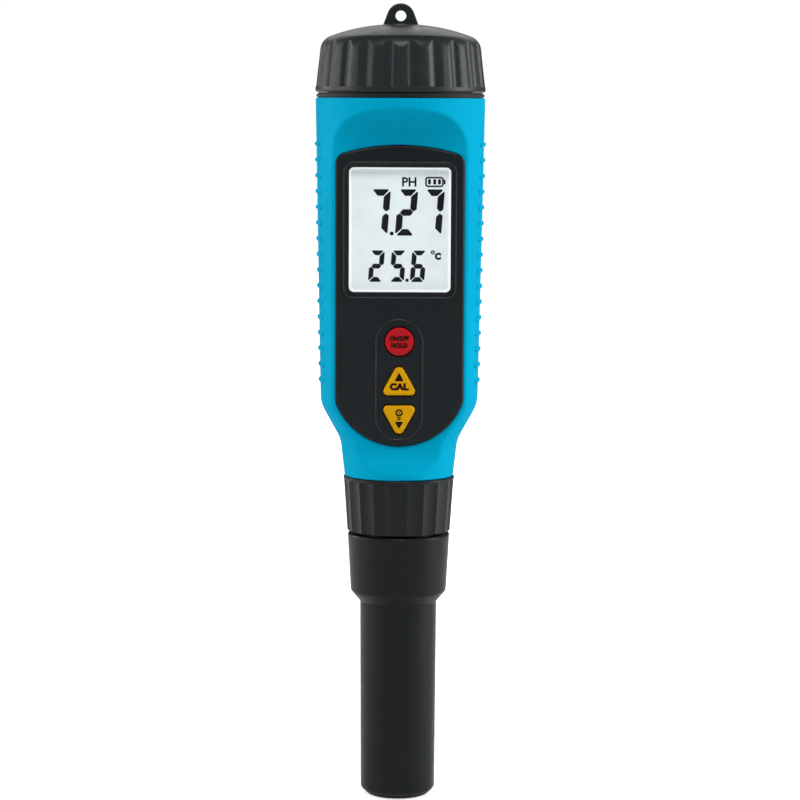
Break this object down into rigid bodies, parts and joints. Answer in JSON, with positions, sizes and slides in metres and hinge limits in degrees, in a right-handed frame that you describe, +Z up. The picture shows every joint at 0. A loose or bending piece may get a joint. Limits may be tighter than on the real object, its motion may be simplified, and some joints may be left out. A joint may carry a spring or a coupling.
{
  "type": "ph meter",
  "caption": "Handheld waterproof pH meter pen: round body with flat display face and keys, screw battery cap with lanyard eye, plug-in electrode, collar nut and storage cap.",
  "frame": {"origin": "centre of the storage cap's flat base, on the body's long axis", "axes": "+Z up along the body's axis to the lanyard eye; the display and keys face -Y; +X to the right as the display is read"},
  "size_m": [0.0418, 0.0414, 0.195],
  "materials": {
    "body_blue": "satin moulded ABS",
    "cap_grey": "satin moulded ABS",
    "neck_black": "moulded",
    "panel_black": "fine satin",
    "seal_rubber": "matt",
    "window_clear": "clear acrylic",
    "frame_white": "moulded",
    "lcd_glass": "polariser",
    "backlight": "diffuser",
    "zebra_rubber": "striped",
    "board_green": "solder mask",
    "chip_black": "moulded",
    "switch_plastic": "moulded",
    "steel": "plated",
    "silicone": "matt",
    "key_red": "satin",
    "key_yellow": "satin",
    "cage_black": "moulded",
    "cell_jacket": "printed sleeve",
    "contact_metal": "plated",
    "lead_insulation": "insulated wire",
    "electrode_black": "moulded",
    "plug_white": "moulded",
    "bulb_glass": "thin pH glass",
    "silver": "chlorided silver",
    "ceramic": "porous",
    "washer_nylon": "moulded",
    "collar_black": "satin",
    "storage_black": "satin",
    "sponge": "open foam"
  },
  "bodies": {
    "housing": {"main_housing": "body_blue", "threaded_neck": "neck_black", "lower_spigot": "neck_black", "front_panel": "panel_black", "panel_gasket": "seal_rubber", "display_window": "window_clear", "lcd_frame": "frame_white", "lcd_glass": "lcd_glass", "lcd_backlight": "backlight", "zebra_strip": "zebra_rubber", "circuit_board": "board_green", "main_chip": "chip_black", "board_components": "chip_black", "switch_bodies": "switch_plastic", "board_screws": "steel", "key_mat": "silicone", "battery_cage": "cage_black", "battery_cells": "cell_jacket", "battery_contacts": "contact_metal", "battery_leads": "lead_insulation", "electrode_socket": "switch_plastic", "socket_pins": "contact_metal", "electrode_leads": "lead_insulation"},
    "seal_ring": {"cap_gasket": "seal_rubber"},
    "contact_disc": {"contact_plate": "board_green", "cap_springs": "contact_metal"},
    "battery_cap": {"battery_cap": "cap_grey", "plate_screw": "steel"},
    "power_key": {"power_key": "key_red", "power_plunger": "switch_plastic"},
    "cal_up_key": {"cal_up_key": "key_yellow", "cal_up_plunger": "switch_plastic"},
    "light_down_key": {"light_down_key": "key_yellow", "light_down_plunger": "switch_plastic"},
    "electrode": {"electrode_housing": "electrode_black", "spigot_o_ring": "seal_rubber", "boss_o_rings": "seal_rubber", "end_plug": "plug_white", "glass_bulb": "bulb_glass", "silver_wire": "silver", "temperature_sensor": "steel", "reference_junction": "ceramic", "electrode_pins": "contact_metal"},
    "collar_washer": {"collar_washer": "washer_nylon"},
    "collar": {"collar_nut": "collar_black"},
    "storage_cap": {"storage_cap": "storage_black", "cap_sponge": "sponge"}
  },
  "joints": [
    {"name": "cap_lift", "type": "slide", "parent": "housing", "child": "seal_ring", "axis": [0, 0, 1], "range_m": [0, 0.03]},
    {"name": "cap_travel", "type": "slide", "parent": "seal_ring", "child": "contact_disc", "axis": [0, 0, 1], "range_m": [0, 0.006]},
    {"name": "cap_turn", "type": "hinge", "parent": "contact_disc", "child": "battery_cap", "pos_m": [0, 0, 0.18], "axis": [0, 0, 1], "range_deg": [0, 730]},
    {"name": "power_key_press", "type": "slide", "parent": "housing", "child": "power_key", "axis": [0, 0.9994, 0.0339], "range_m": [0, 0.0006], "stiffness_N_per_m": 900, "springref_m": -0.0005},
    {"name": "cal_up_key_press", "type": "slide", "parent": "housing", "child": "cal_up_key", "axis": [0, 0.9994, 0.0339], "range_m": [0, 0.0006], "stiffness_N_per_m": 900, "springref_m": -0.0005},
    {"name": "light_down_key_press", "type": "slide", "parent": "housing", "child": "light_down_key", "axis": [0, 0.9994, 0.0339], "range_m": [0, 0.0006], "stiffness_N_per_m": 900, "springref_m": -0.0005},
    {"name": "electrode_pull", "type": "slide", "parent": "electrode", "child": "housing", "axis": [0, 0, 1], "range_m": [0, 0.03]},
    {"name": "collar_travel", "type": "slide", "parent": "collar_washer", "child": "electrode", "axis": [0, 0, 1], "range_m": [0, 0.0075]},
    {"name": "collar_turn", "type": "hinge", "parent": "collar_washer", "child": "collar", "pos_m": [0, 0, 0.073], "axis": [0, 0, -1], "range_deg": [0, 1090]},
    {"name": "storage_cap_pull", "type": "slide", "parent": "storage_cap", "child": "collar_washer", "axis": [0, 0, 1], "range_m": [0, 0.062]}
  ],
  "couplings": [
    {"joint": "cap_turn", "follows": "cap_travel", "rad_per_m": 2094.4},
    {"joint": "collar_turn", "follows": "collar_travel", "rad_per_m": 2513.3}
  ]
}
